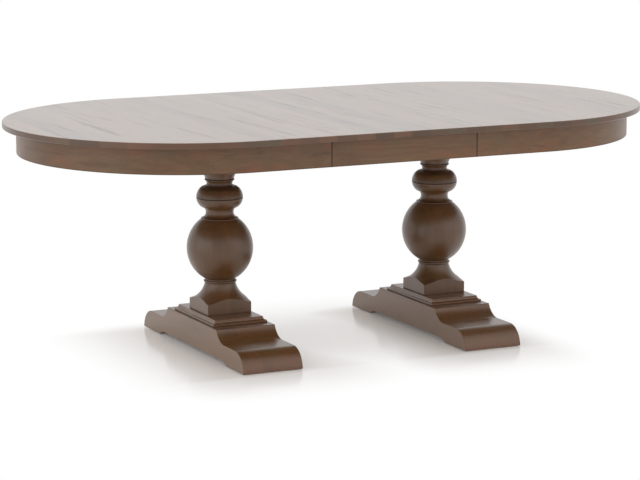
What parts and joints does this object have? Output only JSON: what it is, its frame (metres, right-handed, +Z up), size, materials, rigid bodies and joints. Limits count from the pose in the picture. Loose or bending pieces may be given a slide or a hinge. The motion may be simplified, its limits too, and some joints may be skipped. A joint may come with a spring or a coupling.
{
  "type": "oval extension dining table",
  "caption": "Oval dining table on turned trestle pedestals, with a loose leaf, a curved apron and geared wooden runners that let the halves slide apart.",
  "frame": {"origin": "on the floor under the middle of the table, leaf in place", "axes": "+X along the table towards the half that slides, +Y across the table, +Z up"},
  "size_m": [2.1898, 1.17, 0.76],
  "materials": {
    "top_wood": "satin stained and lacquered hardwood",
    "apron_wood": "satin stained and lacquered hardwood",
    "pedestal_wood": "satin stained and lacquered hardwood",
    "runner_wood": "plain sealed maple, out of sight",
    "peg_wood": "plain birch dowel",
    "brass_pin": "turned brass, satin",
    "zinc_steel": "zinc plated steel",
    "gear_nylon": "moulded nylon",
    "glide_nylon": "moulded nylon"
  },
  "bodies": {
    "left_half": {"top_left": "top_wood", "apron_left": "apron_wood", "glue_blocks_left": "runner_wood", "battens_left": "runner_wood", "leaf_pins_left": "brass_pin", "lock_bases_left": "zinc_steel", "runner_left_front": "runner_wood", "runner_left_back": "runner_wood", "lock_screws_left": "zinc_steel", "runner_screws_left": "zinc_steel", "racks_left": "gear_nylon", "stop_pegs_left": "peg_wood", "risers_left": "runner_wood", "mounting_plate_left": "pedestal_wood", "plate_screws_left": "zinc_steel", "column_left": "pedestal_wood", "base_cap_left": "pedestal_wood", "foot_left": "pedestal_wood", "glides_left": "glide_nylon", "tie_rod_left": "zinc_steel", "tie_nuts_left": "zinc_steel"},
    "right_half": {"top_right": "top_wood", "apron_right": "apron_wood", "glue_blocks_right": "runner_wood", "battens_right": "runner_wood", "leaf_pins_right": "brass_pin", "lock_bases_right": "zinc_steel", "runner_right_front": "runner_wood", "runner_right_back": "runner_wood", "lock_screws_right": "zinc_steel", "runner_screws_right": "zinc_steel", "racks_right": "gear_nylon", "stop_pegs_right": "peg_wood", "risers_right": "runner_wood", "mounting_plate_right": "pedestal_wood", "plate_screws_right": "zinc_steel", "column_right": "pedestal_wood", "base_cap_right": "pedestal_wood", "foot_right": "pedestal_wood", "glides_right": "glide_nylon", "tie_rod_right": "zinc_steel", "tie_nuts_right": "zinc_steel"},
    "slide_middle": {"runner_middle_front": "runner_wood", "runner_middle_back": "runner_wood", "runner_tie_bar": "runner_wood", "pinion_axles": "zinc_steel"},
    "leaf": {"leaf_panel": "top_wood", "leaf_apron_front": "apron_wood", "leaf_apron_back": "apron_wood", "leaf_glue_blocks": "runner_wood", "leaf_battens": "runner_wood", "leaf_keepers": "zinc_steel", "keeper_screws": "zinc_steel"},
    "pinion_front": {"pinion_front": "gear_nylon"},
    "pinion_back": {"pinion_back": "gear_nylon"},
    "lock_left_front": {"lock_lever_left_front": "zinc_steel"},
    "lock_left_back": {"lock_lever_left_back": "zinc_steel"},
    "lock_right_front": {"lock_lever_right_front": "zinc_steel"},
    "lock_right_back": {"lock_lever_right_back": "zinc_steel"}
  },
  "joints": [
    {"name": "table_opening", "type": "slide", "parent": "left_half", "child": "right_half", "axis": [1, 0, 0], "range_m": [0, 0.12]},
    {"name": "middle_runners", "type": "slide", "parent": "left_half", "child": "slide_middle", "axis": [1, 0, 0], "range_m": [0, 0.06]},
    {"name": "leaf_lift", "type": "slide", "parent": "slide_middle", "child": "leaf", "axis": [0, 0, 1], "range_m": [0, 0.3]},
    {"name": "pinion_front_spin", "type": "hinge", "parent": "slide_middle", "child": "pinion_front", "pos_m": [0, -0.19, 0.706], "axis": [0, 0, 1], "range_deg": [-230, 0]},
    {"name": "pinion_back_spin", "type": "hinge", "parent": "slide_middle", "child": "pinion_back", "pos_m": [0, 0.19, 0.706], "axis": [0, 0, 1], "range_deg": [0, 230]},
    {"name": "lock_left_front_turn", "type": "hinge", "parent": "left_half", "child": "lock_left_front", "pos_m": [-0.2785, -0.425, 0.7355], "axis": [0, 0, 1], "range_deg": [-90, 0]},
    {"name": "lock_left_back_turn", "type": "hinge", "parent": "left_half", "child": "lock_left_back", "pos_m": [-0.2785, 0.425, 0.7355], "axis": [0, 0, 1], "range_deg": [0, 90]},
    {"name": "lock_right_front_turn", "type": "hinge", "parent": "right_half", "child": "lock_right_front", "pos_m": [0.2785, -0.425, 0.7355], "axis": [0, 0, 1], "range_deg": [0, 90]},
    {"name": "lock_right_back_turn", "type": "hinge", "parent": "right_half", "child": "lock_right_back", "pos_m": [0.2785, 0.425, 0.7355], "axis": [0, 0, 1], "range_deg": [-90, 0]}
  ],
  "couplings": [
    {"joint": "middle_runners", "follows": "table_opening", "ratio": 0.5},
    {"joint": "pinion_front_spin", "follows": "table_opening", "rad_per_m": -33.333},
    {"joint": "pinion_back_spin", "follows": "table_opening", "rad_per_m": 33.333}
  ]
}
